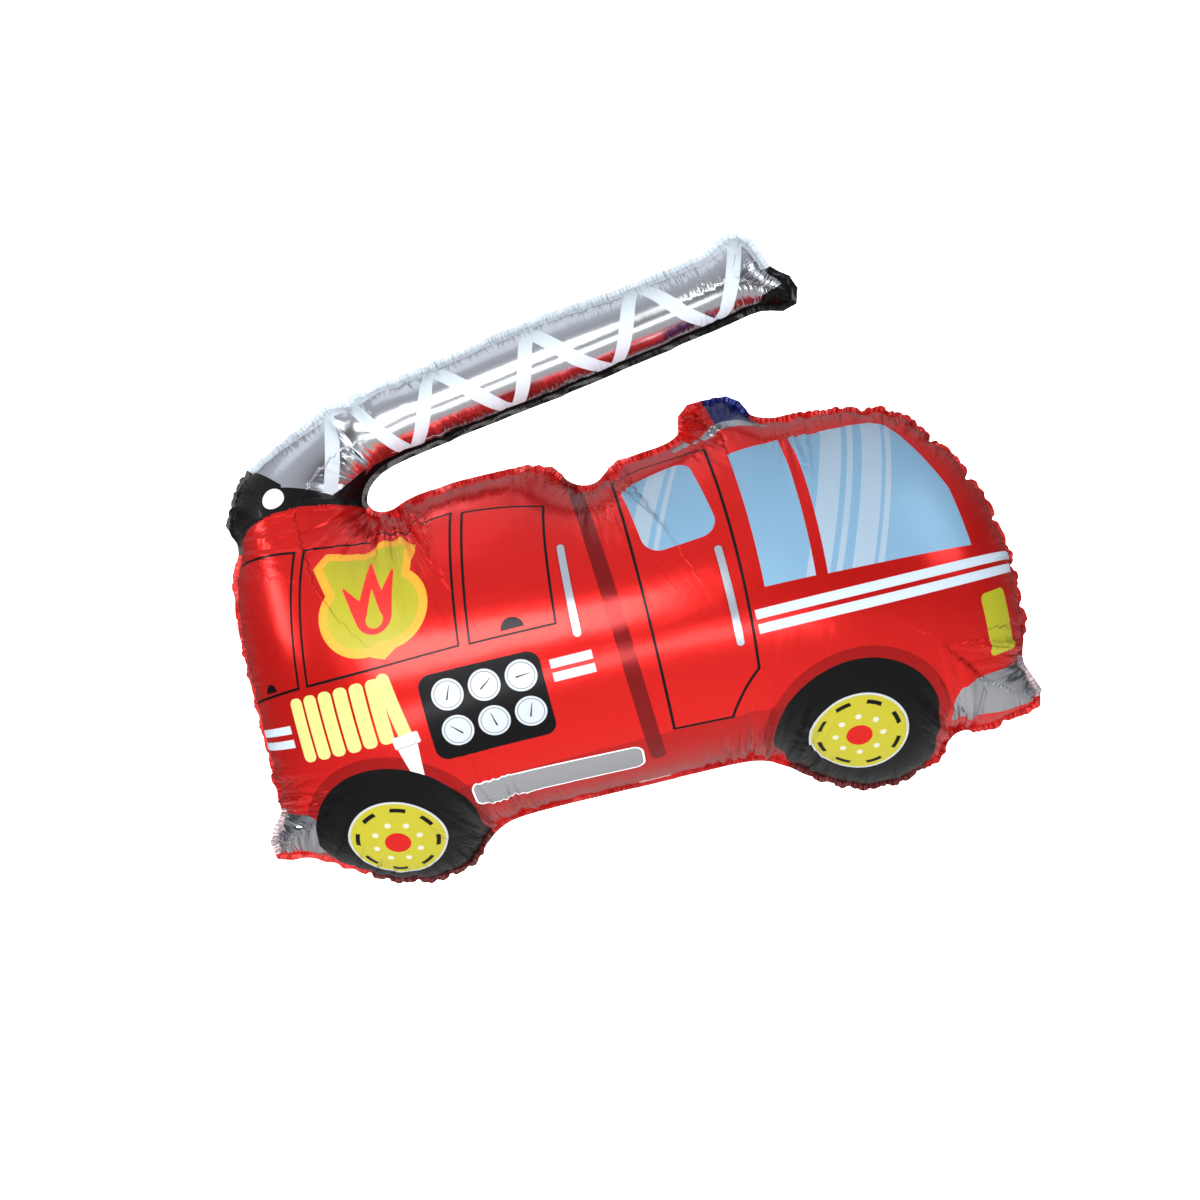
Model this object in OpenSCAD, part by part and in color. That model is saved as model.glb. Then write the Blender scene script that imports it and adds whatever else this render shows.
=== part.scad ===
// Foil balloon in the shape of a fire engine with a raised ladder.
// Two printed foil sheets are welded edge to edge round a gas chamber. A flat valve
// of two thin films sits in the bottom weld, and a short filling tail leads to it.
// The ladder is a limb of the same chamber and flexes at its neck, so each sheet is
// modelled as a truck panel and a ladder panel.
// X runs from the tail board to the nose, Y from the near side to the far side and
// Z up. The origin is on the bottom weld between the wheels, where the ribbon is tied.

/* [Truck] */
// Length from the rear bumper to the nose
truck_l = 868; // [700:4:1060]
// Height from the lowest wheel to the top of the beacon
truck_h = 460; // [370:5:560]
// Depth of the inflated body through its middle
truck_d = 352; // [280:2:430]

/* [Ladder] */
// Length of the ladder limb along X
ladder_l = 672; // [550:4:820]
// Rise of the ladder tip above the neck
ladder_h = 212; // [170:2:260]
// Depth of the inflated ladder
ladder_d = 90; // [70:1:110]

/* [Neck] */
// Width of the neck between the rear weld and the roof
neck_w = 148; // [120:1:180]
// Depth of the neck
neck_d = 148; // [115:1:180]
// Room left at the neck for the ladder to flex
neck_gap = 12; // [9:1:16]

/* [Film] */
// Thickness of one foil sheet as modelled
film_t = 0.6; // [0.4:0.05:1]
// Width of the weld that joins the two sheets
weld_w = 6; // [4:0.5:8]

/* [Valve] */
// Width of the valve films
valve_w = 36; // [24:1:46]
// Length of the valve above the lower edge of the weld
valve_l = 130; // [80:5:200]
// Thickness of one valve film as modelled
valve_t = 0.3; // [0.15:0.05:0.35]

/* [Tail] */
// Width of the filling tail
tail_w = 48; // [38:1:60]
// Length of the filling tail
tail_l = 120; // [90:2:150]
// Radius of the tail's outer corners
tail_r = 8; // [4:1:14]
// Diameter of the ribbon hole
hole_d = 5; // [4:0.5:8]
// Distance from the hole's centre to the end of the tail
hole_in = 14; // [10:1:24]
// Clearance between the tail and the weld that it folds against
fold_gap = 0.4; // [0.3:0.1:1]

/* [Hidden] */

// Resolution: cells across a panel, along the neck, along the rest of the truck, along the ladder
truck_rows = 14;
ladder_rows = 10;
neck_cells = 12;
roof_cells = 46;
ladder_cells = 34;

// The outlines are drawn for a truck of this length and height and a ladder of this
// length and rise, then stretched to the sizes above
drawn_truck = [868, 460];
drawn_ladder = [672, 212];
truck_k = [truck_l / drawn_truck.x, truck_h / drawn_truck.y];
ladder_k = [ladder_l / drawn_ladder.x, ladder_h / drawn_ladder.y];

// Top of the truck after the neck: hose bed, roof notch, beacon, cab roof
roof = [[-165, 372], [-75, 374], [-42, 370], [-20, 354], [-2, 334], [14, 334], [27, 350],
        [55, 356], [110, 363], [116, 384], [134, 397], [164, 397], [194, 378], [200, 363],
        [255, 359], [310, 350], [342, 342], [366, 325]];
// Nose from the cab roof down to the front bumper
nose = [[366, 325], [392, 288], [420, 238], [432, 200], [438, 150], [439, 90], [430, 56],
        [420, 32], [432, 14], [436, -4], [425, -19]];
// Underside from the rear bumper to the front bumper, with the two wheels
belly = [[-421, 14], [-397, 10], [-373, 0], [-350, -12], [-324, -29], [-290, -43], [-257, -50],
         [-224, -43], [-200, -29], [-184, -11], [-164, -2], [-100, 0], [90, 0], [120, -3],
         [140, -14], [168, -34], [194, -51], [222, -61], [254, -63], [293, -54], [320, -39],
         [334, -21], [353, -28], [386, -26], [425, -19]];
// Tail board from its top corner down to the rear bumper
tail_board = [[-396, 344], [-404, 310], [-409, 244], [-409, 134], [-408, 58], [-424, 45],
              [-429, 29], [-421, 14]];
// Rear end of the neck
neck_at = [-386, 356];
// Rise of the neck's front end above its rear end
neck_rise = 6;

// Ladder outline, measured from the middle of the neck: upper edge, tip, underside
ladder_top = [[-82, 18], [-74, 44], [-61, 68], [-43, 80], [-6, 99], [44, 123], [104, 136],
              [180, 148], [290, 168], [400, 180], [506, 198], [514, 206], [539, 212]];
ladder_tip = [[539, 212], [555, 194], [566, 165], [590, 141], [590, 124]];
ladder_under = [[77, 25], [91, 41], [126, 50], [180, 60], [324, 81], [400, 94], [511, 113],
                [546, 118], [577, 113], [590, 124]];

// Shape of the inflated depth: superellipse along the truck, share of the rows over
// which the neck fades into the truck, and share of the ladder taken by its root and tip
fullness = [3, 0.42];
neck_fade = 0.4;
ladder_root = 0.2;
ladder_end = 0.3;

function unit(v) = v / norm(v);
function mix(a, b, t) = a + (b - a) * t;
function ease(t) = let (s = min(1, max(0, t))) s * s * (3 - 2 * s);
function stretch(points, k) = [for (p = points) [p.x * k.x, p.y * k.y]];

// A curve is a list of [distance, x, z] along smooth arcs through its points
function curve(points) =
    let (d = [for (i = 0, s = 0; i < len(points);
                   s = s + (i + 1 < len(points) ? norm(points[i + 1] - points[i]) : 0), i = i + 1) s])
    [for (i = [0 : len(points) - 1]) [d[i] / d[len(d) - 1], points[i].x, points[i].y]];
function rate(c, i, axis) = (c[i + 1][axis] - c[i][axis]) / (c[i + 1][0] - c[i][0]);
function slope(c, i, axis) =
    i == 0 ? rate(c, 0, axis) :
    i == len(c) - 1 ? rate(c, i - 1, axis) :
    let (a = rate(c, i - 1, axis), b = rate(c, i, axis))
    a * b <= 0 ? 0 : 2 * a * b / (a + b);
function read(c, t, axis) =
    let (k = len([for (i = [1 : len(c) - 2]) if (c[i][0] <= t) i]),
         w = c[k + 1][0] - c[k][0],
         s = (t - c[k][0]) / w)
    c[k][axis] * (1 + 2 * s) * (1 - s) ^ 2 + slope(c, k, axis) * w * s * (1 - s) ^ 2
    + c[k + 1][axis] * (3 - 2 * s) * s ^ 2 - slope(c, k + 1, axis) * w * (1 - s) * s ^ 2;
function at(c, t) = [read(c, t, 1), read(c, t, 2)];

// Rows are closest together at the weld, where the film turns the most
function row(j, rows) = (1 - cos(180 * j / rows)) / 2;

// Closed outline of a four-sided patch, clockwise from the top corner at the rear
function patch_outline(top, front, under, rear, u, rows) =
    let (n = len(u) - 1)
    concat([for (i = [0 : n]) at(top, u[i])],
           [for (j = [1 : rows]) at(front, row(j, rows))],
           [for (i = [n - 1 : -1 : 0]) at(under, u[i])],
           [for (j = [rows - 1 : -1 : 1]) at(rear, row(j, rows))]);

// Outward normal of the outline at point k, in the weld's plane
function outward(loop, k) =
    let (n = len(loop), d = loop[(k + 1) % n] - loop[(k + n - 1) % n])
    unit([-d.y, d.x]);

// One foil panel from its outline. depths[i][j] is how far the film stands off the
// weld's plane, and is_open[k] marks the outline points of a mouth, which has no weld.
module film_panel(loop, u, rows, depths, is_open) {
    n = len(u) - 1;
    total = len(loop);
    normals = [for (k = [0 : total - 1]) outward(loop, k)];
    seam = [for (k = [0 : total - 1]) is_open[k] ? loop[k] : loop[k] - weld_w * normals[k]];
    top = [for (i = [0 : n]) seam[i]];
    front = [for (j = [0 : rows]) seam[n + j]];
    under = [for (i = [0 : n]) seam[2 * n + rows - i]];
    rear = [for (j = [0 : rows]) seam[(total - j) % total]];
    flat = [for (i = [0 : n]) [for (j = [0 : rows])
        let (v = row(j, rows))
        mix(top[i], under[i], v) + mix(rear[j], front[j], u[i])
        - mix(mix(top[0], top[n], u[i]), mix(under[0], under[n], u[i]), v)]];
    inner = [for (i = [0 : n]) [for (j = [0 : rows]) [flat[i][j].x, -depths[i][j], flat[i][j].y]]];
    // Position of a grid point on the outline, or -1 inside
    place = function(i, j) j == 0 ? i : i == n ? n + j : j == rows ? 2 * n + rows - i :
                           i == 0 ? total - j : -1;
    lift = function(i, j)
        let (k = place(i, j),
             du = inner[min(i + 1, n)][j] - inner[max(i - 1, 0)][j],
             dv = inner[i][min(j + 1, rows)] - inner[i][max(j - 1, 0)])
        k >= 0 && !is_open[max(k, 0)] ? [normals[k].x, -1, normals[k].y] : unit(cross(dv, du));
    outer = [for (i = [0 : n]) [for (j = [0 : rows])
        let (p = inner[i][j] + film_t * lift(i, j)) [p.x, min(p.y, 0), p.z]]];
    grid = (n + 1) * (rows + 1);
    points = concat([for (column = inner) each column], [for (column = outer) each column],
                    [for (p = loop) [p.x, 0, p.y]], [for (p = loop) [p.x, -film_t, p.y]]);
    cell = function(i, j) i * (rows + 1) + j;
    edge = [for (k = [0 : total - 1])
        k <= n ? cell(k, 0) : k <= n + rows ? cell(n, k - n) :
        k <= 2 * n + rows ? cell(2 * n + rows - k, rows) : cell(0, total - k)];
    rim = [for (k = [0 : total - 1]) is_open[k] ? edge[k] : 2 * grid + k];
    rim_out = [for (k = [0 : total - 1]) is_open[k] ? grid + edge[k] : 2 * grid + total + k];
    faces = concat(
        [for (i = [0 : n - 1], j = [0 : rows - 1])
            let (a = cell(i, j), b = cell(i + 1, j), c = cell(i + 1, j + 1), d = cell(i, j + 1))
            each [[grid + a, grid + b, grid + c], [grid + a, grid + c, grid + d],
                  [a, c, b], [a, d, c]]],
        [for (k = [0 : total - 1])
            let (l = (k + 1) % total, a = edge[k], b = edge[l])
            each concat(
                is_open[k] ? [] : [[grid + a, rim_out[k], rim_out[l]], [a, rim[l], rim[k]]],
                is_open[l] ? [] : [[grid + a, rim_out[l], grid + b], [a, b, rim[l]]],
                [[rim_out[k], rim[k], rim[l]], [rim_out[k], rim[l], rim_out[l]]])]);
    polyhedron(points, faces, convexity = 10);
}

neck_rear = [neck_at.x * truck_k.x, neck_at.y * truck_k.y];
neck_front = neck_rear + [neck_w, neck_rise];
neck_mid = (neck_rear + neck_front) / 2;
neck_up = unit([-neck_rise, neck_w]) * neck_gap / 2;

// Truck: the neck takes cells of its own, so its mouth lines up with the ladder's
truck_top = curve(concat([[tail_board[0].x * truck_k.x, tail_board[0].y * truck_k.y]],
                         [neck_rear - neck_up, neck_front - neck_up], stretch(roof, truck_k)));
truck_u = concat([0],
    [for (i = [0 : neck_cells]) mix(truck_top[1][0], truck_top[2][0], i / neck_cells)],
    [for (i = [1 : roof_cells])
        let (t = i / roof_cells) mix(truck_top[2][0], 1, mix(t, sin(90 * t), 0.4))]);

module truck_panel() {
    rows = truck_rows;
    loop = patch_outline(truck_top, curve(stretch(nose, truck_k)), curve(stretch(belly, truck_k)),
                         curve(stretch(tail_board, truck_k)), truck_u, rows);
    mouth = function(i) i < 1 || i > neck_cells + 1 ? 0 :
        neck_d / 2 * sqrt(max(0, 1 - (2 * (i - 1) / neck_cells - 1) ^ 2));
    swell = function(u) truck_d / 2 * (1 - abs(2 * u - 1) ^ fullness[0]) ^ fullness[1];
    depths = [for (i = [0 : len(truck_u) - 1]) [for (j = [0 : rows])
        norm([swell(truck_u[i]) * sin(180 * j / rows),
              mouth(i) * (1 - ease(row(j, rows) / neck_fade))])]];
    is_open = [for (k = [0 : len(loop) - 1]) k >= 1 && k <= neck_cells + 1];
    film_panel(loop, truck_u, rows, depths, is_open);
}

// Ladder: a tube that narrows from the neck to the limb and closes at its tip
module ladder_panel() {
    rows = ladder_rows;
    from_neck = function(points) [for (p = stretch(points, ladder_k)) neck_mid + p];
    base = [neck_rear + neck_up, neck_front + neck_up];
    top = curve(concat([base[0]], from_neck(ladder_top)));
    under = curve(concat([base[1]], from_neck(ladder_under)));
    root = curve([base[0], mix(base[0], base[1], 0.5), base[1]]);
    u = [for (i = [0 : ladder_cells]) let (t = i / ladder_cells) mix(t, sin(90 * t), 0.3)];
    loop = patch_outline(top, curve(from_neck(ladder_tip)), under, root, u, rows);
    round = function(u) mix(neck_d, ladder_d, ease(u / ladder_root)) / 2;
    close = function(u) (1 - max(0, (u - 1 + ladder_end) / ladder_end) ^ fullness[0]) ^ fullness[1];
    depths = [for (i = [0 : ladder_cells]) [for (j = [0 : rows])
        round(u[i]) * close(u[i]) * sin(180 * j / rows)]];
    last = len(loop) - rows;
    is_open = [for (k = [0 : len(loop) - 1]) k == 0 || k >= last];
    film_panel(loop, u, rows, depths, is_open);
}

// A valve film hangs in the chamber from the weld, flat on the weld's plane
module valve_film() {
    translate([-valve_w / 2, 0, 0])
        rotate([90, 0, 0])
            linear_extrude(valve_t)
                square([valve_w, valve_l]);
}

// A tail film, folded back under the far side, with its ribbon hole
module tail_film() {
    start = film_t + fold_gap;
    difference() {
        linear_extrude(film_t) {
            translate([-tail_w / 2, start])
                square([tail_w, tail_l - tail_r - start]);
            translate([-tail_w / 2 + tail_r, start])
                square([tail_w - 2 * tail_r, tail_l - start]);
            for (side = [-1, 1])
                translate([side * (tail_w / 2 - tail_r), tail_l - tail_r])
                    circle(tail_r, $fn = 48);
        }
        translate([0, tail_l - hole_in, -1])
            cylinder(h = film_t + 2, d = hole_d, $fn = 48);
    }
}

module truck_front_panel() { color("#d01c20") truck_panel(); }
module truck_back_panel() { color("#b8181c") mirror([0, 1, 0]) truck_panel(); }
module ladder_front_panel() { color("#c3c9d2") ladder_panel(); }
module ladder_back_panel() { color("#aab0ba") mirror([0, 1, 0]) ladder_panel(); }
module valve_front_film() { color("#dfe6ea") valve_film(); }
module valve_back_film() { color("#cdd6dc") mirror([0, 1, 0]) valve_film(); }
module tail_front_film() { color("#c9ced6") mirror([0, 0, 1]) tail_film(); }
module tail_back_film() { color("#b4bac4") tail_film(); }

truck_front_panel();
truck_back_panel();
ladder_front_panel();
ladder_back_panel();
valve_front_film();
valve_back_film();
tail_front_film();
tail_back_film();
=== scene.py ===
"""Looks of the fire engine foil balloon: two printed foil sheets, cut flat, welded and inflated."""
import math

import bpy
import numpy as np
from mathutils import Matrix, Vector
from mathutils.geometry import delaunay_2d_cdt


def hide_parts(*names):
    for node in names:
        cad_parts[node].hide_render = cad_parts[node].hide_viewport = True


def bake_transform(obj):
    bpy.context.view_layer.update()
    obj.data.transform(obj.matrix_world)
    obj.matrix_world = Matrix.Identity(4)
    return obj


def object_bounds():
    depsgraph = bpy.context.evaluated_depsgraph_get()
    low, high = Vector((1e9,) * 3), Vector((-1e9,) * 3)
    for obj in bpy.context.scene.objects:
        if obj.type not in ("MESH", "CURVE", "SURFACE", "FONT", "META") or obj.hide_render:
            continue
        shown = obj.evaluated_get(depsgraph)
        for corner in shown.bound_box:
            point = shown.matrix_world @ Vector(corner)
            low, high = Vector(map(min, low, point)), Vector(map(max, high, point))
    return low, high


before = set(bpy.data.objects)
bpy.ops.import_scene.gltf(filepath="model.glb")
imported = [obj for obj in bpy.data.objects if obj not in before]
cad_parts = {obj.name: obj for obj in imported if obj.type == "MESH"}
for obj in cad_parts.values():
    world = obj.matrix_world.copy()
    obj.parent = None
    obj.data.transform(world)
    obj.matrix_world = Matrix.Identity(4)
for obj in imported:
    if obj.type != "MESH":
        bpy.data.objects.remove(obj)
CAD_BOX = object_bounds()

MM = 0.001
WELD = 6 * MM            # width of the weld outside the chamber
PITCH = 12 * MM          # spacing of the coarse sheet's points
RIM_LENGTH = 3.6         # the seam's length, about, for the pleats' pattern
LADDER_FROM = 398 * MM   # height above which the outline is the ladder's
FLANGE_GAP = 0.5 * MM    # from the weld's middle plane to each sheet
FINE_STEPS = ((140, 0.06 * MM, 0.05), (80, 0.025 * MM, 0.02))   # steps, push and stiffness, level by level
FINE_LEVELS = len(FINE_STEPS)


# ---------------------------------------------------------------- camera

def add_camera():
    """Looks along +Y with the truck's nose tipped up, as a balloon floats."""
    roll = math.radians(13.5)
    width = 1.32
    distance = 2.8
    target = Vector((-13.2 * MM, 0, 210 * MM))
    data = bpy.data.cameras.new("camera")
    data.sensor_fit = "HORIZONTAL"
    data.sensor_width = 36
    data.lens = data.sensor_width * distance / width
    camera = bpy.data.objects.new("camera", data)
    bpy.context.scene.collection.objects.link(camera)
    right = Vector((math.cos(roll), 0, -math.sin(roll)))
    up = Vector((math.sin(roll), 0, math.cos(roll)))
    back = right.cross(up)
    turn = Matrix((right, up, back)).transposed().to_4x4()
    camera.matrix_world = Matrix.Translation(target + distance * back) @ turn
    bpy.context.scene.camera = camera


# ---------------------------------------------------------------- outline of the weld

def weld_chain(node):
    """Points of a panel's outer edge in the weld's plane, in order, as (x, z)."""
    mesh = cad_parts[node].data
    links = {}
    for face in mesh.polygons:
        corners = [mesh.vertices[i].co for i in face.vertices]
        if abs(face.normal.y) > 0.05 or any(abs(c.y) > 0.7 * MM for c in corners):
            continue
        keys = [(round(c.x, 6), round(c.z, 6)) for c in corners if abs(c.y) < 1e-7]
        if len(keys) == 2 and keys[0] != keys[1]:
            links.setdefault(keys[0], set()).add(keys[1])
            links.setdefault(keys[1], set()).add(keys[0])
    ends = sorted(k for k, near in links.items() if len(near) == 1)
    chain = [ends[0]]
    seen = {ends[0]}
    while True:
        near = [k for k in links[chain[-1]] if k not in seen]
        if not near:
            return np.array(chain)
        chain.append(near[0])
        seen.add(near[0])


def normals_of(loop):
    """Outward unit normals of a closed loop that runs anticlockwise."""
    d = np.roll(loop, -1, 0) - np.roll(loop, 1, 0)
    d /= np.linalg.norm(d, axis=1)[:, None]
    return np.stack([d[:, 1], -d[:, 0]], 1)


def signed_area(loop):
    after = np.roll(loop, -1, 0)
    return 0.5 * float(np.sum(loop[:, 0] * after[:, 1] - after[:, 0] * loop[:, 1]))


def resample(loop, step):
    """The closed loop again, with even steps."""
    closed = np.concatenate([loop, loop[:1]])
    s = np.concatenate([[0], np.cumsum(np.linalg.norm(np.diff(closed, axis=0), axis=1))])
    t = np.linspace(0, s[-1], int(round(s[-1] / step)), endpoint=False)
    return np.stack([np.interp(t, s, closed[:, k]) for k in (0, 1)], 1)


def smooth_closed(values, sigma):
    """Gaussian filter round a closed loop of samples, with sigma in samples."""
    k = np.fft.fftfreq(len(values))
    gain = np.exp(-0.5 * (2 * np.pi * k * sigma) ** 2)
    return np.real(np.fft.ifft(np.fft.fft(values, axis=0) * gain[:, None], axis=0))


def weld_outline():
    """Outer edge of the whole balloon, from the truck's and the ladder's panels."""
    truck = weld_chain("truck_front_panel")
    ladder = weld_chain("ladder_front_panel")
    if np.linalg.norm(truck[-1] - ladder[0]) > np.linalg.norm(truck[-1] - ladder[-1]):
        ladder = ladder[::-1]
    loop = np.concatenate([truck, ladder])
    if signed_area(loop) < 0:
        loop = loop[::-1]
    return smooth_closed(resample(loop, 3 * MM), 1.0)


# ---------------------------------------------------------------- the sheet as a mesh

def inside(points, loop):
    """Even-odd test of points against a closed loop."""
    x, z = points[:, 0], points[:, 1]
    result = np.zeros(len(points), bool)
    for (x1, z1), (x2, z2) in zip(loop, np.roll(loop, -1, 0)):
        if z1 != z2:
            result ^= ((z1 > z) != (z2 > z)) & (x < (x2 - x1) * (z - z1) / (z2 - z1) + x1)
    return result


def edge_distance(points, loop):
    """Distance to a closed loop, and how far round the loop the nearest point lies."""
    best = np.full(len(points), 1e9)
    where = np.zeros(len(points))
    start = 0.0
    for a, b in zip(loop, np.roll(loop, -1, 0)):
        d = b - a
        t = np.clip(((points - a) @ d) / (d @ d), 0, 1)
        gap = np.linalg.norm(points - a - t[:, None] * d, axis=1)
        closer = gap < best
        best[closer] = gap[closer]
        where[closer] = start + t[closer] * np.linalg.norm(d)
        start += np.linalg.norm(d)
    return best, where, start


def edges_of(tris):
    pairs = np.concatenate([tris[:, [0, 1]], tris[:, [1, 2]], tris[:, [2, 0]]])
    return np.unique(np.sort(pairs, 1), axis=0)


def opposites_of(tris):
    """The two far corners of each pair of triangles that share an edge."""
    e = np.concatenate([tris[:, [0, 1, 2]], tris[:, [1, 2, 0]], tris[:, [2, 0, 1]]])
    key = np.sort(e[:, :2], 1)
    order = np.lexsort((key[:, 1], key[:, 0]))
    key, far = key[order], e[order, 2]
    same = np.where(np.all(key[1:] == key[:-1], 1))[0]
    return np.stack([far[same], far[same + 1]], 1)


def independent_groups(pairs, count):
    """Splits pairs into groups in which no point is used twice."""
    used = [0] * count
    colour = np.zeros(len(pairs), int)
    for i, (a, b) in enumerate(pairs.tolist()):
        taken = used[a] | used[b]
        c = 0
        while taken >> c & 1:
            c += 1
        colour[i] = c
        used[a] |= 1 << c
        used[b] |= 1 << c
    return [pairs[colour == c] for c in range(colour.max() + 1)]


class Sheet:
    """One foil sheet: plan is where its points lie in the outline, cut where they lie on the flat film."""

    def __init__(self, plan, cut, tris, seam):
        self.plan, self.cut, self.tris, self.seam = plan, cut, tris, seam
        self.edges = edges_of(tris)
        self.ties = independent_groups(self.edges, len(plan))
        self.folds = independent_groups(opposites_of(tris), len(plan))
        self.set_lengths()

    def set_lengths(self):
        length = lambda p: np.linalg.norm(self.cut[p[:, 0]] - self.cut[p[:, 1]], axis=1)
        self.tie_lengths = [length(p) for p in self.ties]
        self.fold_lengths = [length(p) for p in self.folds]

    def gather(self, values, index):
        n = len(self.plan)
        return np.stack([np.bincount(index, values[:, k], n) for k in range(values.shape[1])], 1)


def sheet_mesh(loop, pitch):
    """Even triangles inside the outline, with the outline's points first."""
    low, high = loop.min(0), loop.max(0)
    rise = pitch * math.sqrt(3) / 2
    rows = []
    for r in range(int((high[1] - low[1]) / rise) + 1):
        x = np.arange(low[0] + (r % 2) * pitch / 2, high[0], pitch)
        rows.append(np.stack([x, np.full(len(x), low[1] + r * rise)], 1))
    points = np.concatenate(rows)
    points = points[inside(points, loop)]
    points = points[edge_distance(points, loop)[0] > 0.62 * pitch]
    plan = np.concatenate([loop, points])
    n = len(loop)
    rim = [(i, (i + 1) % n) for i in range(n)]
    # The triangulation works in millimetres, because its tolerance is absolute
    found = delaunay_2d_cdt([Vector(p / MM) for p in plan], rim, [], 0, 1e-5)
    tris = np.array([f for f in found[2] if len(f) == 3])
    tris = tris[inside(plan[tris].mean(1), loop)]
    a = plan[tris]
    turned = np.cross(a[:, 1] - a[:, 0], a[:, 2] - a[:, 0]) < 0
    tris[turned] = tris[turned][:, ::-1]
    return Sheet(plan, plan.copy(), tris, np.arange(n))


def subdivide(sheet, x):
    """Each triangle becomes four."""
    e = sheet.edges
    n = len(x)
    key = e[:, 0] * n + e[:, 1]

    def middle(a, b):
        return n + np.searchsorted(key, np.minimum(a, b) * n + np.maximum(a, b))

    a, b, c = sheet.tris.T
    ab, bc, ca = middle(a, b), middle(b, c), middle(c, a)
    tris = np.concatenate([np.stack(t, 1) for t in ((a, ab, ca), (ab, b, bc), (ca, bc, c), (ab, bc, ca))])
    halve = lambda q: np.concatenate([q, 0.5 * (q[e[:, 0]] + q[e[:, 1]])])
    seam = np.stack([sheet.seam, middle(sheet.seam, np.roll(sheet.seam, -1))], 1).ravel()
    return Sheet(halve(sheet.plan), halve(sheet.cut), tris, seam), halve(x)


def spread(sheet, rim_values, loops, start=None):
    """Carries values on the seam smoothly over the sheet."""
    n = len(sheet.plan)
    e = sheet.edges
    degree = np.bincount(e.ravel(), minlength=n)[:, None]
    d = np.zeros((n, 2)) if start is None else start.copy()
    for _ in range(loops):
        d[sheet.seam] = rim_values
        d = (sheet.gather(d[e[:, 1]], e[:, 0]) + sheet.gather(d[e[:, 0]], e[:, 1])) / degree
    d[sheet.seam] = rim_values
    return d


def relax(sheet, x, rounds):
    """Evens out the mesh's own small jitter, away from the seam."""
    e = sheet.edges
    degree = np.bincount(e.ravel(), minlength=len(x))[:, None]
    seam = x[sheet.seam].copy()
    for _ in range(rounds):
        x = 0.5 * x + 0.5 * (sheet.gather(x[e[:, 1]], e[:, 0]) + sheet.gather(x[e[:, 0]], e[:, 1])) / degree
        x[sheet.seam] = seam
    return x


# ---------------------------------------------------------------- inflation

def project(x, groups, lengths, gain, only_stretch_out):
    """Moves each pair of points to its length. Folds only push apart."""
    for pair, rest in zip(groups, lengths):
        a, b = pair[:, 0], pair[:, 1]
        d = x[b] - x[a]
        now = np.sqrt(np.einsum("ij,ij->i", d, d)) + 1e-12
        change = now - rest
        if only_stretch_out:
            change = np.minimum(change, 0)
        d *= (0.5 * gain * change / now)[:, None]
        x[a] += d
        x[b] -= d


def inflate(sheet, x, steps, push, momentum=0.9, stiffness=0.1):
    """Pressure pushes the near side's film outwards while its edges keep their length.
    The far side is its mirror image, so the seam stays in the plane y = 0."""
    speed = np.zeros_like(x)
    corners = sheet.tris.T.ravel()
    for _ in range(steps):
        a, b, c = (x[sheet.tris[:, k]] for k in range(3))
        g = sheet.gather(np.tile(np.cross(b - a, c - a), (3, 1)), corners)
        g[sheet.seam, 1] = 0
        g /= np.linalg.norm(g, axis=1)[:, None] + 1e-12
        old = x
        x = x + momentum * speed + push * g
        for _ in range(2):
            project(x, sheet.ties, sheet.tie_lengths, 1.0, False)
            project(x, sheet.folds, sheet.fold_lengths, stiffness, True)
            x[sheet.seam, 1] = 0
        speed = x - old
    return x


def align(sheet, x):
    """Moves x rigidly so that its seam lies on the outline."""
    p, q = x[sheet.seam][:, [0, 2]], sheet.plan[sheet.seam]
    pc, qc = p.mean(0), q.mean(0)
    u, _, vt = np.linalg.svd((p - pc).T @ (q - qc))
    turn = u @ np.diag([1, np.sign(np.linalg.det(u @ vt))]) @ vt
    out = x.copy()
    out[:, [0, 2]] = (x[:, [0, 2]] - pc) @ turn + qc
    return out


def cut_to_fit(sheet, rounds, steps):
    """Finds the flat cut that inflates to the outline: the seam draws in as the film
    bulges, so the cut is widened by what is missing, round after round."""
    loop = sheet.plan[sheet.seam]
    widen = normals_of(loop) * np.where(loop[:, 1] > LADDER_FROM, 20 * MM, 48 * MM)[:, None]
    widen = smooth_closed(widen, 2.5)
    moved = spread(sheet, widen, 600)
    sheet.cut = sheet.plan + moved
    sheet.set_lengths()
    depth = np.sqrt(edge_distance(sheet.plan, loop)[0] / MM) * 8 * MM
    x = np.stack([sheet.plan[:, 0], -depth, sheet.plan[:, 1]], 1)
    for _ in range(rounds):
        x = align(sheet, inflate(sheet, x, steps, 0.13 * MM))
        missing = loop - x[sheet.seam][:, [0, 2]]
        widen = widen + 0.5 * smooth_closed(missing, 3.0)
        now = spread(sheet, widen, 100, moved)
        x[:, [0, 2]] += now - moved
        moved = now
        sheet.cut = sheet.plan + moved
        sheet.set_lengths()
    return align(sheet, inflate(sheet, x, steps, 0.13 * MM))


def settle_on_outline(sheet, x):
    """Takes up the last few millimetres between the seam and the outline."""
    missing = sheet.plan[sheet.seam] - x[sheet.seam][:, [0, 2]]
    samples = 18 * MM / np.linalg.norm(np.diff(sheet.plan[sheet.seam], axis=0), axis=1).mean()
    x[:, [0, 2]] += spread(sheet, smooth_closed(missing, samples), 400)
    # By the tail the seam lies exactly on the outline
    loop = sheet.plan[sheet.seam]
    by_tail = np.exp(-(np.linalg.norm(loop, axis=1) / (45 * MM)) ** 2)
    missing = (loop - x[sheet.seam][:, [0, 2]]) * by_tail[:, None]
    x[:, [0, 2]] += spread(sheet, missing, 60)
    deep = CAD_BOX[1].y - 1 * MM
    x[:, 1] *= deep / -x[:, 1].min()
    return x


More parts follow.
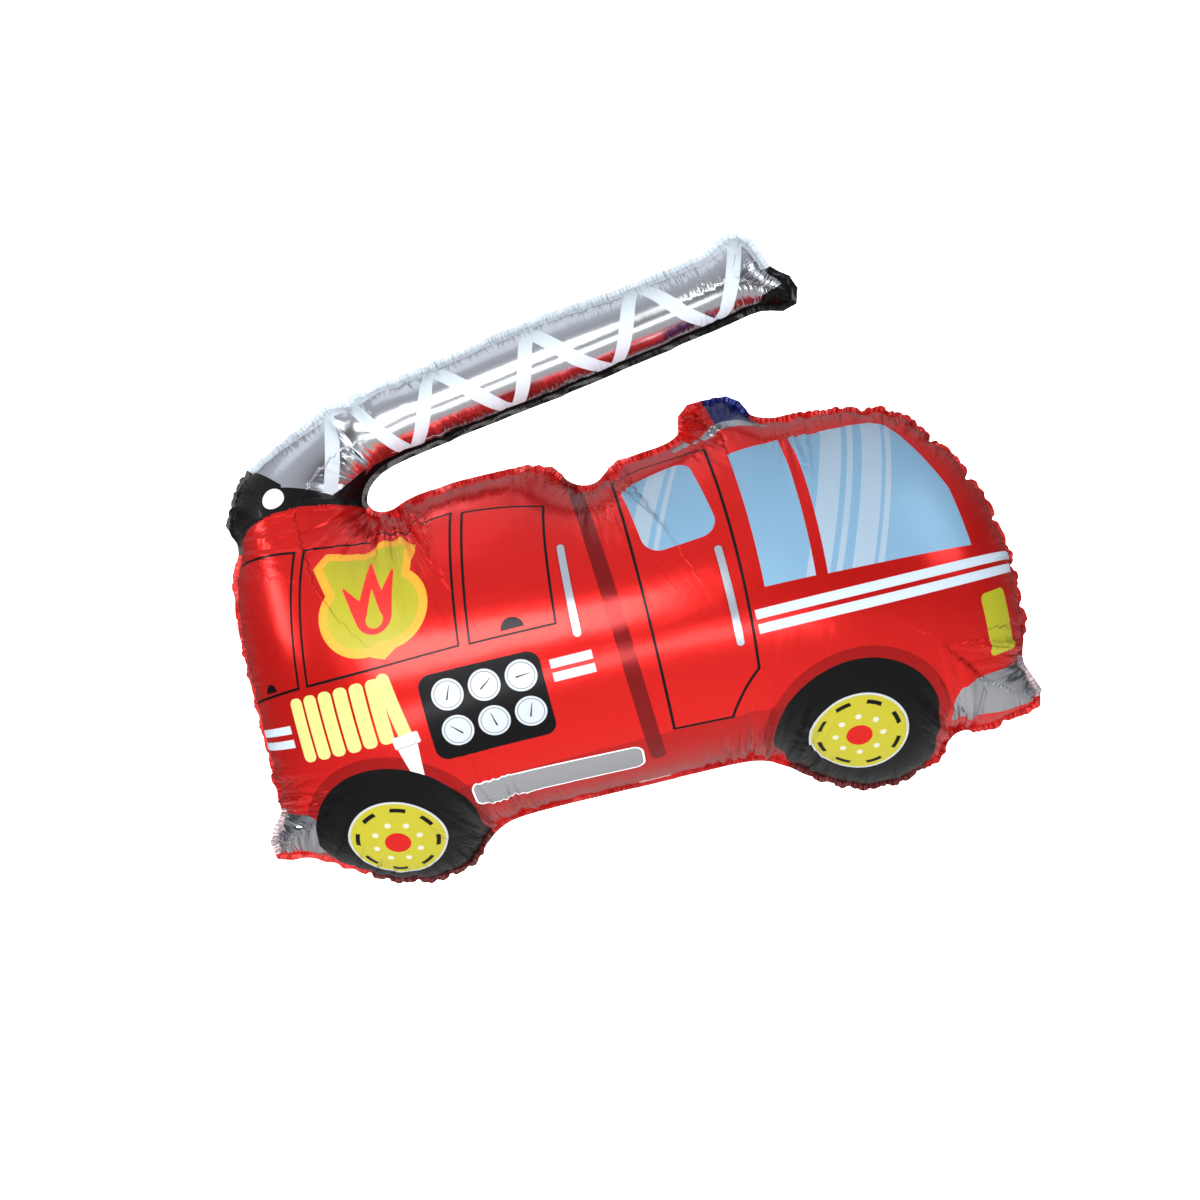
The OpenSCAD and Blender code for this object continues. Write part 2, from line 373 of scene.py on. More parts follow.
def inflated_sheet():
    outline = weld_outline()
    seam = outline - WELD * normals_of(smooth_closed(outline, 2.0))
    seam = resample(smooth_closed(seam, 1.5), PITCH)
    sheet = sheet_mesh(seam, PITCH)
    x = cut_to_fit(sheet, 12, 60)
    for steps, push, stiffness in FINE_STEPS[:FINE_LEVELS]:
        sheet, x = subdivide(sheet, x)
        x = inflate(sheet, x, steps, push, 0.85, stiffness)
    return sheet, settle_on_outline(sheet, relax(sheet, align(sheet, x), 6))


# ---------------------------------------------------------------- pleats

def loop_noise(total, shortest, longest, seed):
    """Smooth noise round a loop of that length, with wavelengths between the two given."""
    n = 4096
    wave = total / np.maximum(np.arange(n // 2 + 1), 1e-9)
    random = np.random.default_rng(seed)
    spectrum = random.normal(size=len(wave)) + 1j * random.normal(size=len(wave))
    spectrum[(wave < shortest) | (wave > longest)] = 0
    values = np.fft.irfft(spectrum, n)
    return values / values.std()


def at_arc(values, share):
    """Samples of a loop, read at shares of the way round it."""
    n = len(values)
    return np.interp(share * n, np.arange(n + 1), np.append(values, values[0]))


def pull(sheet):
    """From 0 to 1 at each seam point, how far the outline turns inwards: there the film is
    pulled together, and its pleats run furthest in."""
    loop = sheet.plan[sheet.seam]
    d = np.roll(loop, -1, 0) - loop
    step = np.linalg.norm(d, axis=1)
    heading = np.arctan2(d[:, 1], d[:, 0])
    turn = (heading - np.roll(heading, 1) + np.pi) % (2 * np.pi) - np.pi
    bend = smooth_closed((turn / step)[:, None], 10 * MM / step.mean())
    return smooth_closed(np.clip(-bend / 8, 0, 1), 10 * MM / step.mean())[:, 0]


def add_pleats(sheet, x):
    """Raises pleats that start at the seam and run inwards, fine ones and a few broad ones.
    Gives the film, each point's place round the seam, and how strong pleats are there."""
    depth, along, total = edge_distance(x[:, [0, 2]], x[sheet.seam][:, [0, 2]])
    share = along / total
    pulled = at_arc(pull(sheet), share)
    ladder = x[:, 2] > 430 * MM
    reach = np.where(ladder, 9 + 22 * pulled, 15 + 60 * pulled) * MM
    patch = 0.6 + 0.4 * np.tanh(at_arc(loop_noise(total, 90 * MM, 400 * MM, 5), share))
    fine = at_arc(loop_noise(total, 10 * MM, 17 * MM, 11), share)
    broad = at_arc(loop_noise(total, 22 * MM, 46 * MM, 23), share)
    fade = np.exp(-(depth / reach) ** 2)
    height = (0.9 * MM * fine * fade ** 1.4 + 1.4 * MM * broad * fade) * patch * (0.6 + 1.7 * pulled)
    # Where the outline turns inwards, creases fan out over the film
    fan = at_arc(loop_noise(total, 5 * MM, 10 * MM, 41), share)
    part = depth / reach
    height += 1.9 * MM * fan * pulled * part * np.exp(-(part / 0.8) ** 2) * np.where(ladder, 0.4, 1.6)
    height *= 1 - np.exp(-np.abs(x[:, 1]) / (8 * MM))
    height[ladder] *= 0.6
    a, b, c = (x[sheet.tris[:, k]] for k in range(3))
    normal = sheet.gather(np.tile(np.cross(b - a, c - a), (3, 1)), sheet.tris.T.ravel())
    normal /= np.linalg.norm(normal, axis=1)[:, None]
    x = x + normal * height[:, None]
    x[sheet.seam, 1] = 0
    x[:, 1] = np.maximum(np.minimum(x[:, 1], 0), -(CAD_BOX[1].y - 1 * MM))
    return x, share, fade * patch


# ---------------------------------------------------------------- the film pieces

LADDER_FOOT = (350 * MM, 0.115, -387 * MM)      # height, slope and place of the line between truck and ladder


def on_ladder(points):
    z, slope, x = LADDER_FOOT
    return points[:, 1] > z + slope * (points[:, 0] - x)


def weld_rings(sheet, x):
    """Two rings of points outside the seam, where both sheets are welded flat."""
    at = x[sheet.seam][:, [0, 2]]
    out = normals_of(smooth_closed(at, 3.0))
    cut = sheet.cut[sheet.seam]
    cut_out = normals_of(smooth_closed(cut, 3.0))
    plan = sheet.plan[sheet.seam]
    plan_out = normals_of(smooth_closed(plan, 3.0))
    turn = 2 * np.pi * np.arange(len(at)) / len(at)
    ripple = sum(a * np.sin(k * turn + p) for k, a, p in ((37, 0.5, 0.3), (83, 0.45, 1.9), (131, 0.35, 4.1)))
    ripple *= 1 - np.exp(-(np.linalg.norm(plan, axis=1) / (50 * MM)) ** 2)
    rings = []
    for share in (0.5, 1.0):
        ring = at + share * WELD * out
        lift = share ** 1.5 * ripple * MM
        rings.append((np.stack([ring[:, 0], lift, ring[:, 1]], 1), cut + share * WELD * cut_out,
                      plan + share * WELD * plan_out, share))
    return rings


def film_piece(name, sheet, x, share, strength, rim, side, materials):
    """One welded sheet. side is -1 for the near sheet and 1 for its mirror image."""
    seam = sheet.seam
    n = len(seam)
    points = x.copy()
    points[:, 1] *= -side
    cut, plan = [sheet.cut], [sheet.plan]
    turn, depth, far = [2 * np.pi * share], [rim], [strength]
    everything = [points]
    tris = [sheet.tris]
    quads = []
    inner = seam
    start = len(points)
    for ring, ring_cut, ring_plan, out in weld_rings(sheet, x):
        ring = ring.copy()
        ring[:, 1] += side * FLANGE_GAP
        everything.append(ring)
        cut.append(ring_cut)
        plan.append(ring_plan)
        depth.append(np.full(n, -out * WELD))
        turn.append(turn[0][seam])
        far.append(strength[seam])
        outer = start + np.arange(n)
        quads.append(np.stack([inner, outer, np.roll(outer, -1), np.roll(inner, -1)], 1))
        inner = outer
        start += n
    points, cut, plan = np.concatenate(everything), np.concatenate(cut), np.concatenate(plan)
    depth, turn, far = np.concatenate(depth), np.concatenate(turn), np.concatenate(far)
    tris, quads = np.concatenate(tris), np.concatenate(quads)
    if side > 0:
        tris, quads = tris[:, ::-1], quads[:, ::-1]

    mesh = bpy.data.meshes.new(name)
    mesh.from_pydata(points.tolist(), [], tris.tolist() + quads.tolist())
    corners = np.concatenate([tris.ravel(), quads.ravel()])
    radius = RIM_LENGTH / (2 * np.pi)
    for layer, values in (("print", cut),
                          ("rim", radius * np.stack([np.cos(turn), np.sin(turn)], 1)),
                          ("rim_depth", np.stack([depth, far], 1))):
        mesh.uv_layers.new(name=layer).data.foreach_set("uv", values[corners].ravel())
    mesh.polygons.foreach_set("use_smooth", [True] * len(mesh.polygons))
    middle = np.concatenate([plan[tris].mean(1), plan[quads].mean(1)])
    mesh.polygons.foreach_set("material_index", on_ladder(middle).astype(int))
    for m in materials:
        mesh.materials.append(m)
    ring = {tuple(sorted(p)) for p in zip(seam.tolist(), np.roll(seam, -1).tolist())}
    sharp = mesh.attributes.new("sharp_edge", "BOOLEAN", "EDGE")
    sharp.data.foreach_set("value", [tuple(sorted(e.vertices)) in ring for e in mesh.edges])
    mesh.validate()
    piece = bpy.data.objects.new(name, mesh)
    bpy.context.scene.collection.objects.link(piece)
    return piece


# ---------------------------------------------------------------- shader helpers

def srgb(r, g, b):
    """Colour as a shader takes it, from 0 to 255 values."""
    line = [c / 255 / 12.92 if c < 10.3 else ((c / 255 + 0.055) / 1.055) ** 2.4 for c in (r, g, b)]
    return (*line, 1.0)


class Shader:
    """A material under construction, with short calls for its nodes."""

    def __init__(self, name):
        self.material = bpy.data.materials.new(name)
        self.material.use_nodes = True
        self.tree = self.material.node_tree
        self.tree.nodes.clear()

    def node(self, kind, inputs=(), **settings):
        n = self.tree.nodes.new(kind)
        for key, value in settings.items():
            setattr(n, key, value)
        for key, value in dict(inputs).items():
            if isinstance(value, bpy.types.NodeSocket):
                self.tree.links.new(value, n.inputs[key])
            else:
                n.inputs[key].default_value = value
        return n

    def number(self, operation, a, b=0.0, c=0.0, clamp=False):
        n = self.node("ShaderNodeMath", {0: a, 1: b, 2: c}, operation=operation, use_clamp=clamp)
        return n.outputs[0]

    def vector(self, operation, a, b=(0, 0, 0), c=(0, 0, 0)):
        n = self.node("ShaderNodeVectorMath", {0: a, 1: b, 2: c}, operation=operation)
        return n.outputs["Value" if operation in ("DOT_PRODUCT", "LENGTH", "DISTANCE") else "Vector"]

    def uv(self, layer):
        return self.node("ShaderNodeUVMap", uv_map=layer).outputs[0]

    def noise(self, place, scale, detail=2.0, roughness=0.5):
        return self.node("ShaderNodeTexNoise", {"Vector": place, "Scale": scale, "Detail": detail,
                                                "Roughness": roughness}).outputs[0]

    def mix(self, share, a, b):
        n = self.tree.nodes.new("ShaderNodeMix")
        n.data_type = "RGBA"
        for key, value in (("Factor_Float", share), ("A_Color", a), ("B_Color", b)):
            socket = next(s for s in n.inputs if s.identifier == key)
            if isinstance(value, bpy.types.NodeSocket):
                self.tree.links.new(value, socket)
            else:
                socket.default_value = value
        return next(s for s in n.outputs if s.identifier == "Result_Color")


class Print(Shader):
    """Inks on the flat film. Places are in millimetres on the flat cut, with x forward and
    z up. A shape is a signed distance, negative inside."""

    def __init__(self, name, ground, finish, crumple):
        super().__init__(name)
        self.crumple = crumple
        self.place = self.vector("MULTIPLY_ADD", self.uv("print"), (1000, 1000, 0), (0, 0, 1))
        parts = self.node("ShaderNodeSeparateXYZ", {0: self.uv("rim_depth")})
        self.rim, self.strength = self.number("MULTIPLY", parts.outputs[0], 1000.0), parts.outputs[1]
        self.colour = ground
        self.finish = (*finish, 0, 1)

    # shapes
    def line(self, a, b, place=None):
        """Negative on the left of the way from a to b."""
        dx, dz = b[0] - a[0], b[1] - a[1]
        length = math.hypot(dx, dz)
        nx, nz = dz / length, -dx / length
        return self.vector("DOT_PRODUCT", place or self.place, (nx, nz, -nx * a[0] - nz * a[1]))

    def all_of(self, *shapes):
        result = shapes[0]
        for s in shapes[1:]:
            result = self.number("MAXIMUM", result, s)
        return result

    def any_of(self, *shapes):
        result = shapes[0]
        for s in shapes[1:]:
            result = self.number("MINIMUM", result, s)
        return result

    def less(self, shape):
        return self.number("MULTIPLY", shape, -1.0)

    def polygon(self, *points, place=None):
        """A convex outline."""
        if signed_area(np.array(points, float)) < 0:
            points = points[::-1]
        return self.all_of(*(self.line(a, b, place) for a, b in zip(points, points[1:] + points[:1])))

    def circle(self, x, z, radius, place=None):
        return self.number("SUBTRACT", self.vector("DISTANCE", place or self.place, (x, z, 1)), radius)

    def box(self, x, z, width, height, radius=0.01, turn=0.0, place=None):
        """A rounded box about (x, z), turned by so many degrees."""
        at = self.vector("SUBTRACT", place or self.place, (x, z, 1))
        if turn:
            at = self.node("ShaderNodeVectorRotate", {"Vector": at, "Angle": math.radians(-turn)},
                           rotation_type="Z_AXIS").outputs[0]
        if radius < 1:
            parts = self.node("ShaderNodeSeparateXYZ", {0: self.vector("ABSOLUTE", at)})
            return self.number("MAXIMUM", self.grow(parts.outputs[0], width / 2),
                               self.grow(parts.outputs[1], height / 2))
        inner = (width / 2 - radius, height / 2 - radius, 0)
        at = self.vector("SUBTRACT", self.vector("ABSOLUTE", at), inner)
        return self.number("SUBTRACT", self.vector("LENGTH", self.vector("MAXIMUM", at, (0, 0, 0))), radius)

    def bar(self, a, b, width, end_width=None, place=None):
        """A straight stroke with round ends, tapering to end_width."""
        d = (b[0] - a[0], b[1] - a[1], 0)
        square = d[0] ** 2 + d[1] ** 2
        place = place or self.place
        t = self.vector("DOT_PRODUCT", self.vector("SUBTRACT", place, (a[0], a[1], 1)),
                        (d[0] / square, d[1] / square, 0))
        t = self.number("ADD", t, 0.0, clamp=True)
        along = self.node("ShaderNodeCombineXYZ", {0: t, 1: t}).outputs[0]
        foot = self.vector("MULTIPLY_ADD", along, d, (a[0], a[1], 1))
        gap = self.vector("DISTANCE", place, foot)
        if end_width is None or end_width == width:
            return self.number("SUBTRACT", gap, width / 2)
        half = self.number("MULTIPLY_ADD", t, (end_width - width) / 2, width / 2)
        return self.number("SUBTRACT", gap, half)

    def outline(self, shape, width):
        return self.number("SUBTRACT", self.number("ABSOLUTE", shape), width / 2)

    def grow(self, shape, by):
        return self.number("SUBTRACT", shape, by)

    def around(self, x, z, count, phase=0.0):
        """The place, folded so that one shape at (radius, 0) repeats round (x, z)."""
        at = self.vector("SUBTRACT", self.place, (x, z, 0))
        parts = self.node("ShaderNodeSeparateXYZ", {0: at})
        angle = self.number("ARCTAN2", parts.outputs[1], parts.outputs[0])
        step = 2 * math.pi / count
        k = self.number("ROUND", self.number("MULTIPLY_ADD", angle, 1 / step, -math.radians(phase) / step))
        back = self.number("MULTIPLY_ADD", k, -step, -math.radians(phase))
        return self.node("ShaderNodeVectorRotate", {"Vector": at, "Angle": back},
                         rotation_type="Z_AXIS").outputs[0]

    # inks
    def ink(self, shape, colour, finish=None, share=1.0, edge=0.5):
        """Prints the shape. finish is (metallic, roughness)."""
        mask = self.number("MULTIPLY_ADD", shape, -1 / edge, 0.5, clamp=True)
        if share < 1:
            mask = self.number("MULTIPLY", mask, share)
        self.colour = self.mix(mask, self.colour, colour)
        if finish is not None:
            self.finish = self.mix(mask, self.finish, (*finish, 0, 1))

    def wrinkles(self):
        """Height of the foil's fine pleats and crinkles, in millimetres."""
        ring = self.vector("MULTIPLY", self.uv("rim"), (1000, 1000, 0))
        up = self.node("ShaderNodeCombineXYZ", {2: self.number("MULTIPLY", self.rim, 0.08)}).outputs[0]
        along = self.vector("ADD", ring, up)
        fine = self.number("SUBTRACT", self.noise(along, 0.28, 1.0), 0.5)
        pleat = self.number("MULTIPLY", self.number("MULTIPLY", fine, 8.0), self.strength)
        crinkle = self.number("MULTIPLY", self.noise(self.place, 0.03, 3.0, 0.45), self.crumple)
        return self.number("ADD", pleat, crinkle)

    def done(self, coat=0.12, coat_roughness=0.14):
        parts = self.node("ShaderNodeSeparateColor", {0: self.finish})
        grain = self.noise(self.place, 0.9, 2.0)
        rough = self.number("MULTIPLY_ADD", grain, 0.06, parts.outputs[1])
        bump = self.node("ShaderNodeBump", {"Height": self.wrinkles(), "Distance": 0.001, "Strength": 1.0})
        shader = self.node("ShaderNodeBsdfPrincipled", {
            "Base Color": self.colour, "Metallic": parts.outputs[0], "Roughness": rough,
            "Normal": bump.outputs[0], "Coat Weight": coat, "Coat Roughness": coat_roughness, "IOR": 1.5})
        self.node("ShaderNodeOutputMaterial", {"Surface": shader.outputs[0]})
        return self.material


# ---------------------------------------------------------------- the print

RED = srgb(226, 32, 28)
DARK_RED = srgb(128, 10, 14)
BLACK = srgb(16, 15, 18)
PALE = srgb(184, 200, 214)
YELLOW = srgb(170, 164, 26)
HOSE = srgb(194, 194, 118)
GOLD = srgb(224, 160, 38)
GLASS = srgb(121, 162, 192)
SILVER = srgb(214, 219, 226)
WHITE = srgb(222, 224, 228)
BLUE = srgb(16, 30, 104)
WHEELS = ((-273, 0), (224, -12))

FOIL = (1.0, 0.14)       # metallic, roughness
SATIN = (0.65, 0.20)     # coloured ink over the foil
FLAT = (0.0, 0.42)       # covering ink
JET = (0.7, 0.34)        # black ink, which shines less


def truck_print():
    p = Print("truck print", RED, SATIN, 0.6)

    # Darker sill, wheel arches and the band behind the cab
    p.ink(p.polygon((-190, 40), (150, 40), (150, -60), (-190, -60)), DARK_RED, share=0.4)
    for x, z in WHEELS:
        p.ink(p.circle(x, z, 101), DARK_RED, share=0.6)
    p.ink(p.any_of(p.bar((-6, 430), (8, 166), 16), p.bar((8, 166), (14, 10), 16)),
          srgb(112, 16, 20), share=0.85)

    # Lockers and their handles
    for corners in (((-415, 332), (-306, 326), (-320, 185), (-415, 181)),
                    ((-296, 328), (-135, 340), (-148, 186), (-309, 185)),
                    ((-123, 336), (-40, 328), (-51, 184), (-137, 185))):
        p.ink(p.outline(p.polygon(*corners), 2.8), BLACK, JET)
    for x, z, r in ((-93, 189, 12), (-360, 187, 9)):
        p.ink(p.all_of(p.circle(x, z, r), p.line((x - 9, z), (x + 9, z))), BLACK, JET)

    # Badge with a flame
    at = p.node("ShaderNodeVectorRotate", {"Vector": p.vector("SUBTRACT", p.place, (-227, 257, 0)),
                                          "Angle": math.radians(-4)}, rotation_type="Z_AXIS").outputs[0]
    side = p.node("ShaderNodeSeparateXYZ", {0: p.vector("ABSOLUTE", at)}).outputs[0]
    half = p.node("ShaderNodeCombineXYZ", {0: side, 1: p.node("ShaderNodeSeparateXYZ", {0: at}).outputs[1],
                                           2: 1.0}).outputs[0]
    top = p.all_of(p.line((41, 66), (0, 58), half), p.line((55, 50), (41, 66), half),
                   p.line((44, 12), (55, 50), half), p.line((0, -30), (44, -30), half))
    low = p.any_of(p.circle(13, -14, 44, half),
                   p.polygon((-1, -66), (30, -50), (30, -20), (-1, -20), place=half))
    badge = p.any_of(top, low)
    p.ink(badge, GOLD, FLAT)
    p.ink(p.grow(badge, -9), YELLOW, FLAT)
    p.ink(p.any_of(p.circle(0, -20, 19, at), p.bar((0, -16), (6, 40), 34, 2, at),
                   p.bar((-10, -18), (-26, 18), 20, 2, at), p.bar((10, -18), (28, 22), 20, 2, at)), RED, FLAT)
    p.ink(p.any_of(p.circle(0, -24, 9, at), p.bar((0, -22), (3, 8), 16, 1, at)), YELLOW, FLAT)

    # Hose in folds, and its nozzle
    parts = p.node("ShaderNodeSeparateXYZ", {0: p.vector("ADD", p.place, (284, 0, 0))})
    fold = p.node("ShaderNodeCombineXYZ", {0: p.number("WRAP", parts.outputs[0], 17.6, 0.0),
                                           1: parts.outputs[1], 2: 1.0}).outputs[0]
    p.ink(p.all_of(p.box(8.8, 143, 15, 66, 6, place=fold), p.box(-284, 143, 105.6, 80)), HOSE, FLAT)
    p.ink(p.bar((-229, 172), (-221, 114), 14), HOSE, FLAT)
    p.ink(p.box(-222, 109, 27, 12, 2, 4), WHITE, FLAT)
    p.ink(p.polygon((-233, 103), (-212, 104), (-217, 64), (-226, 64)), WHITE, FLAT)
    p.ink(p.outline(p.box(-222, 103, 22, 0.1, turn=4), 1.0), srgb(120, 120, 128), FLAT)

    # Gauge board with six dials
    p.ink(p.box(-136, 121, 122, 89, 13, -1), BLACK, JET)
    parts = p.node("ShaderNodeSeparateXYZ", {0: p.vector("SUBTRACT", p.place, (-133, 124, 0))})
    x = p.number("WRAP", parts.outputs[0], 18.5, -18.5)
    z = p.number("SUBTRACT", p.number("WRAP", parts.outputs[1], 37.5, 0.0), 18.75)
    turn = p.number("MULTIPLY_ADD", p.number("ROUND", p.number("DIVIDE", parts.outputs[0], 37.0)), 0.55,
                    p.number("MULTIPLY", p.number("FLOOR", p.number("DIVIDE", parts.outputs[1], 37.5)), 1.15))
    dial = p.node("ShaderNodeCombineXYZ", {0: x, 1: z, 2: 1.0}).outputs[0]
    board = p.box(-133, 124, 111, 75)
    p.ink(p.all_of(board, p.circle(0, 0, 15.8, dial)), srgb(190, 198, 206), (0.2, 0.3))
    p.ink(p.all_of(board, p.outline(p.circle(0, 0, 13.2, dial), 0.8)), srgb(96, 104, 114), FLAT)
    needle = p.node("ShaderNodeVectorRotate", {"Vector": dial, "Angle": turn},
                    rotation_type="Z_AXIS").outputs[0]
    p.ink(p.all_of(board, p.bar((-4, -3), (7, 5), 1.7, 0.6, needle)), BLACK, JET)

    # Pale stripes
    for start, end, z, width in ((-66, -24, 146.5, 9), (-66, -24, 133, 9), (-430, -344, 146, 8.5),
                                 (-430, -344, 131.5, 8.5), (138, 480, 143.5, 9.5), (138, 480, 129, 9.5)):
        p.ink(p.box((start + end) / 2, z, end - start, width, 0.6), PALE, FLAT)

    # Door, and the grab rails
    door = p.all_of(p.polygon((40, 366), (143, 345), (128, 38), (36, 43)), p.less(p.circle(224, -10, 137)))
    p.ink(p.outline(door, 3.0), BLACK, JET)
    for a, b in (((-30, 262), (-33, 170)), ((120, 216), (118, 121))):
        p.ink(p.bar(a, b, 10), DARK_RED, share=0.5)
        p.ink(p.bar(a, b, 7.4), srgb(190, 200, 212), (0.7, 0.2))

    # Windows, with printed reflections
    panes = p.any_of(p.box(86, 283, 76, 104, 19, 4),
                     p.polygon((162, 322), (218, 326), (204, 167), (153, 168)),
                     p.polygon((230, 328), (325, 325), (339, 315), (356, 272),
                               (374, 225), (377, 161), (216, 166)))
    p.ink(panes, GLASS, (0.15, 0.36))
    lean = p.vector("DOT_PRODUCT", p.place, (0.91, -0.415, 0))

    def stripe(low, high):
        return p.grow(p.number("ABSOLUTE", p.number("SUBTRACT", lean, (low + high) / 2)), (high - low) / 2)

    cab = p.all_of(p.any_of(stripe(107, 129), stripe(135, 141), stripe(150, 171), stripe(175, 181)),
                   p.line((148, 400), (148, 100)))
    by_door = p.all_of(p.any_of(stripe(-68, -49), stripe(-43, -38)), p.line((140, 100), (140, 400)))
    p.ink(p.all_of(panes, p.any_of(cab, by_door)), srgb(160, 180, 197), (0.1, 0.36), share=0.85)

    # Headlight, bumpers and running board
    p.ink(p.box(392, 77, 38, 67, 7, 3), srgb(172, 170, 32), (0.2, 0.28))
    p.ink(p.all_of(p.box(405, -8, 150, 66, 26), p.line((200, -30), (500, -30))), SILVER, FOIL)
    p.ink(p.box(-410, 27, 130, 54, 20), SILVER, FOIL)
    step = p.box(-90, 17, 180, 38, 11, -3)
    p.ink(step, SILVER, FOIL)
    p.ink(p.outline(p.grow(step, -1), 1.8), WHITE, FLAT)

    # Wheels
    for x, z in WHEELS:
        p.ink(p.any_of(p.circle(x, z, 89), p.bar((x + 2, z), (x + 8, z - 90), 166)), BLACK, JET)
        p.ink(p.circle(x, z, 52), srgb(190, 194, 198), (0.3, 0.3))
        p.ink(p.circle(x, z, 49.6), YELLOW, (0.15, 0.32))
        dash = p.around(x, z, 8, 22.5)
        p.ink(p.all_of(p.outline(p.circle(0, 0, 42, dash), 4.6), p.box(42, 0, 14, 16, 2.2, place=dash)),
              BLACK, JET)
        p.ink(p.circle(24.5, 0, 3.2, p.around(x, z, 8, 2.0)), srgb(186, 184, 170), FLAT)
        p.ink(p.circle(x, z, 13.5), RED, SATIN)

    # Beacon on the roof, and painted shade all along the weld
    p.ink(p.polygon((112, 366), (222, 366), (222, 470), (112, 470)), SILVER, FOIL)
    p.ink(p.polygon((112, 381), (166, 381), (166, 470), (112, 470)), RED, (0.7, 0.2))
    # Painted shade: the weld and the seam's first half millimetre, all round the outline, half darkened to
    # dark red with less shine
    p.ink(p.grow(p.rim, 0.5), DARK_RED, (0.2, 0.4), share=0.5)
    p.ink(p.polygon((166, 381), (222, 381), (222, 470), (166, 470)), BLUE, (0.6, 0.2))
    return p.done()


def ladder_print():
    p = Print("ladder print", SILVER, (1.0, 0.2), 0.25)
    upper = p.line((-300, 450), (260, 515))
    bands = [p.bar((-274, 404), (-277, 495), 15)]
    for points in (((-248, 517), (-213, 482), (-184, 452), (-164, 500), (-148, 545)),
                   ((-138, 535), (-99, 495), (-69, 460), (-50, 500), (-30, 548)),
                   ((-24, 538), (9, 498), (46, 463), (69, 505), (93, 550)),
                   ((106, 543), (135, 501), (168, 467), (196, 512), (226, 562))):
        bands += [p.bar(a, b, 15) for a, b in zip(points, points[1:])]
    p.ink(p.any_of(*bands, p.all_of(p.grow(p.rim, 14), upper)), srgb(196, 208, 218), (0.0, 0.5))

    # Black rail underneath, and the turntable with its white pin
    under = p.all_of(p.grow(p.rim, 9), p.less(upper), p.line((-250, 600), (-250, 300)))
    foot = p.any_of(p.polygon((-440, 490), (-325, 409), (-325, 330), (-440, 330)),
                    p.polygon((-330, 406), (-268, 406), (-268, 330), (-330, 330)),
                    p.polygon((-272, 407), (-238, 446), (-238, 330), (-272, 330)))
    tip = p.polygon((206, 440), (300, 440), (300, 496), (222, 486))
    p.ink(p.any_of(under, foot, tip), BLACK, JET)
    p.ink(p.circle(-333, 393, 12), WHITE, FLAT)
    return p.done(0.25, 0.08)


# ---------------------------------------------------------------- tail and valve

def tail_foil():
    s = Shader("tail foil")
    place = s.node("ShaderNodeTexCoord").outputs["Object"]
    fine = s.number("MULTIPLY", s.noise(place, 900.0, 2.0), 0.05)
    height = s.number("ADD", s.noise(place, 60.0, 3.0, 0.6), fine)
    bump = s.node("ShaderNodeBump", {"Height": height, "Distance": 0.0008, "Strength": 0.8})
    rough = s.number("MULTIPLY_ADD", s.noise(place, 220.0), 0.14, 0.14)
    tone = s.mix(s.noise(place, 90.0), srgb(196, 202, 210), srgb(222, 226, 231))
    shader = s.node("ShaderNodeBsdfPrincipled", {"Base Color": tone, "Metallic": 1.0, "Roughness": rough,
                                                 "Normal": bump.outputs[0]})
    s.node("ShaderNodeOutputMaterial", {"Surface": shader.outputs[0]})
    return s.material


def valve_clear():
    s = Shader("valve clear film")
    place = s.node("ShaderNodeTexCoord").outputs["Object"]
    bump = s.node("ShaderNodeBump", {"Height": s.noise(place, 120.0, 2.0), "Distance": 0.0004,
                                     "Strength": 0.6})
    rough = s.number("MULTIPLY_ADD", s.noise(place, 300.0), 0.1, 0.12)
    shader = s.node("ShaderNodeBsdfPrincipled", {"Base Color": srgb(226, 232, 238), "Roughness": rough,
                                                 "Alpha": 0.5, "Normal": bump.outputs[0]})
    s.node("ShaderNodeOutputMaterial", {"Surface": shader.outputs[0]})
    return s.material


# ---------------------------------------------------------------- studio

